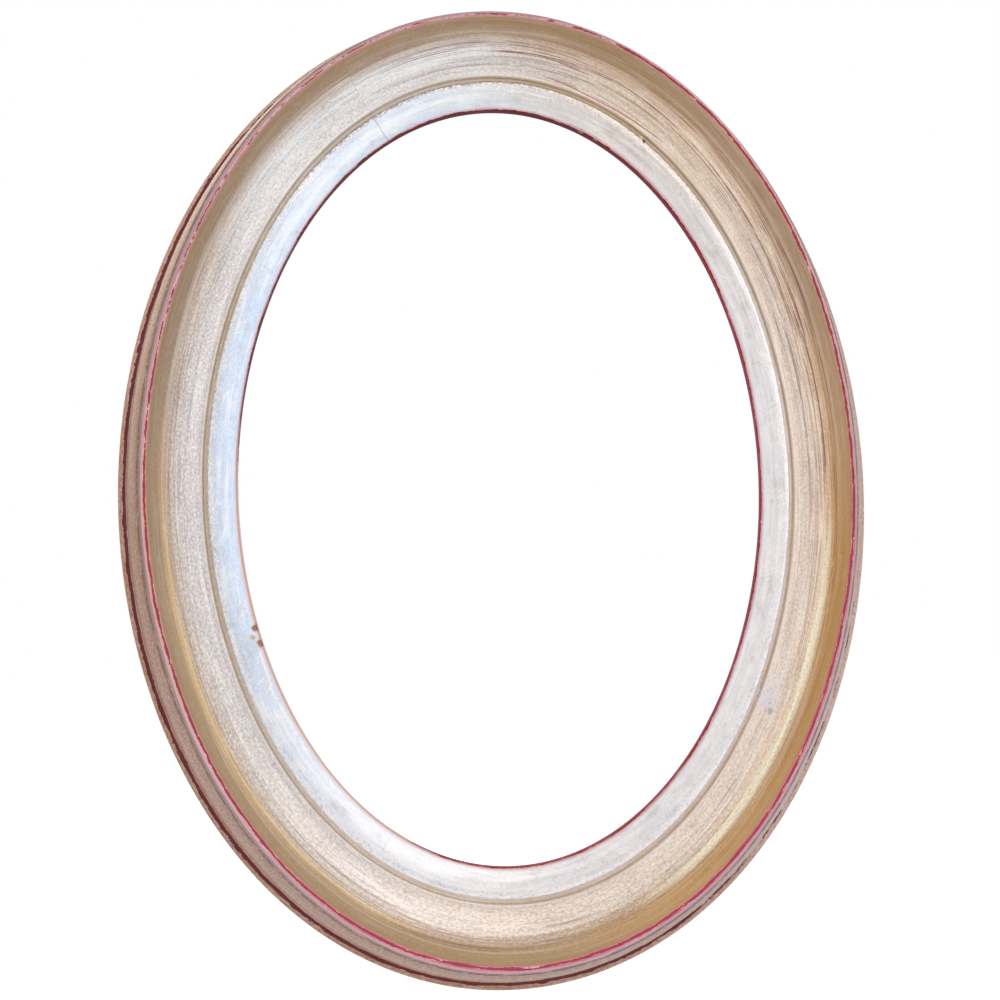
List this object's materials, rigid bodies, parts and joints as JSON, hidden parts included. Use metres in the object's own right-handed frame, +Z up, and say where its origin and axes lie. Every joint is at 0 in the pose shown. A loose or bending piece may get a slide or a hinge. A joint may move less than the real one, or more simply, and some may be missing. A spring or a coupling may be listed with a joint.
{
  "type": "oval picture frame",
  "caption": "Oval wall frame of turned, leafed wood: scooped moulding round an open oval sight, rebate, turn buttons, strap hangers and bumpers behind.",
  "frame": {"origin": "middle of the oval in the plane of the wall, which the two bumpers touch", "axes": "+Z up along the oval's long axis, +X to the right as seen from the front, +Y into the wall, so the front faces -Y"},
  "size_m": [0.4922, 0.0557, 0.6462],
  "materials": {
    "leafed_wood": "toned silver leaf over red bole, rubbed through at the edges",
    "tongue_wood": "planed beech, glued",
    "button_brass": "stamped plate, dull",
    "screw_brass": "slotted round head, dull",
    "hanger_steel": "zinc plated",
    "bumper_rubber": "matt black"
  },
  "bodies": {
    "frame": {"moulding_top": "leafed_wood", "moulding_right": "leafed_wood", "moulding_bottom": "leafed_wood", "moulding_left": "leafed_wood", "joint_tongue_upper_right": "tongue_wood", "joint_tongue_lower_right": "tongue_wood", "joint_tongue_lower_left": "tongue_wood", "joint_tongue_upper_left": "tongue_wood", "turn_button_screws": "screw_brass", "hanger_screws": "hanger_steel", "hanger_strap_left": "hanger_steel", "wall_bumper_left": "bumper_rubber", "hanger_strap_right": "hanger_steel", "wall_bumper_right": "bumper_rubber"},
    "turn_button_top": {"turn_button_top": "button_brass"},
    "turn_button_upper_right": {"turn_button_upper_right": "button_brass"},
    "turn_button_lower_right": {"turn_button_lower_right": "button_brass"},
    "turn_button_bottom": {"turn_button_bottom": "button_brass"},
    "turn_button_lower_left": {"turn_button_lower_left": "button_brass"},
    "turn_button_upper_left": {"turn_button_upper_left": "button_brass"},
    "hanger_ring_left": {"hanger_ring_left": "hanger_steel"},
    "hanger_ring_right": {"hanger_ring_right": "hanger_steel"}
  },
  "joints": [
    {"name": "turn_button_top_turn", "type": "hinge", "parent": "frame", "child": "turn_button_top", "pos_m": [0, -0.00515, 0.2645], "axis": [0, 1, 0], "continuous": true},
    {"name": "turn_button_upper_right_turn", "type": "hinge", "parent": "frame", "child": "turn_button_upper_right", "pos_m": [0.16656, -0.00515, 0.12191], "axis": [0, 1, 0], "continuous": true},
    {"name": "turn_button_lower_right_turn", "type": "hinge", "parent": "frame", "child": "turn_button_lower_right", "pos_m": [0.16656, -0.00515, -0.12191], "axis": [0, 1, 0], "continuous": true},
    {"name": "turn_button_bottom_turn", "type": "hinge", "parent": "frame", "child": "turn_button_bottom", "pos_m": [0, -0.00515, -0.2645], "axis": [0, 1, 0], "continuous": true},
    {"name": "turn_button_lower_left_turn", "type": "hinge", "parent": "frame", "child": "turn_button_lower_left", "pos_m": [-0.16656, -0.00515, -0.12191], "axis": [0, 1, 0], "continuous": true},
    {"name": "turn_button_upper_left_turn", "type": "hinge", "parent": "frame", "child": "turn_button_upper_left", "pos_m": [-0.16656, -0.00515, 0.12191], "axis": [0, 1, 0], "continuous": true},
    {"name": "hanger_ring_left_swing", "type": "hinge", "parent": "frame", "child": "hanger_ring_left", "pos_m": [-0.19883, -0.00332, 0.11373], "axis": [1, 0, 0], "range_deg": [0, 180]},
    {"name": "hanger_ring_right_swing", "type": "hinge", "parent": "frame", "child": "hanger_ring_right", "pos_m": [0.19883, -0.00332, 0.11373], "axis": [1, 0, 0], "range_deg": [0, 180]}
  ]
}
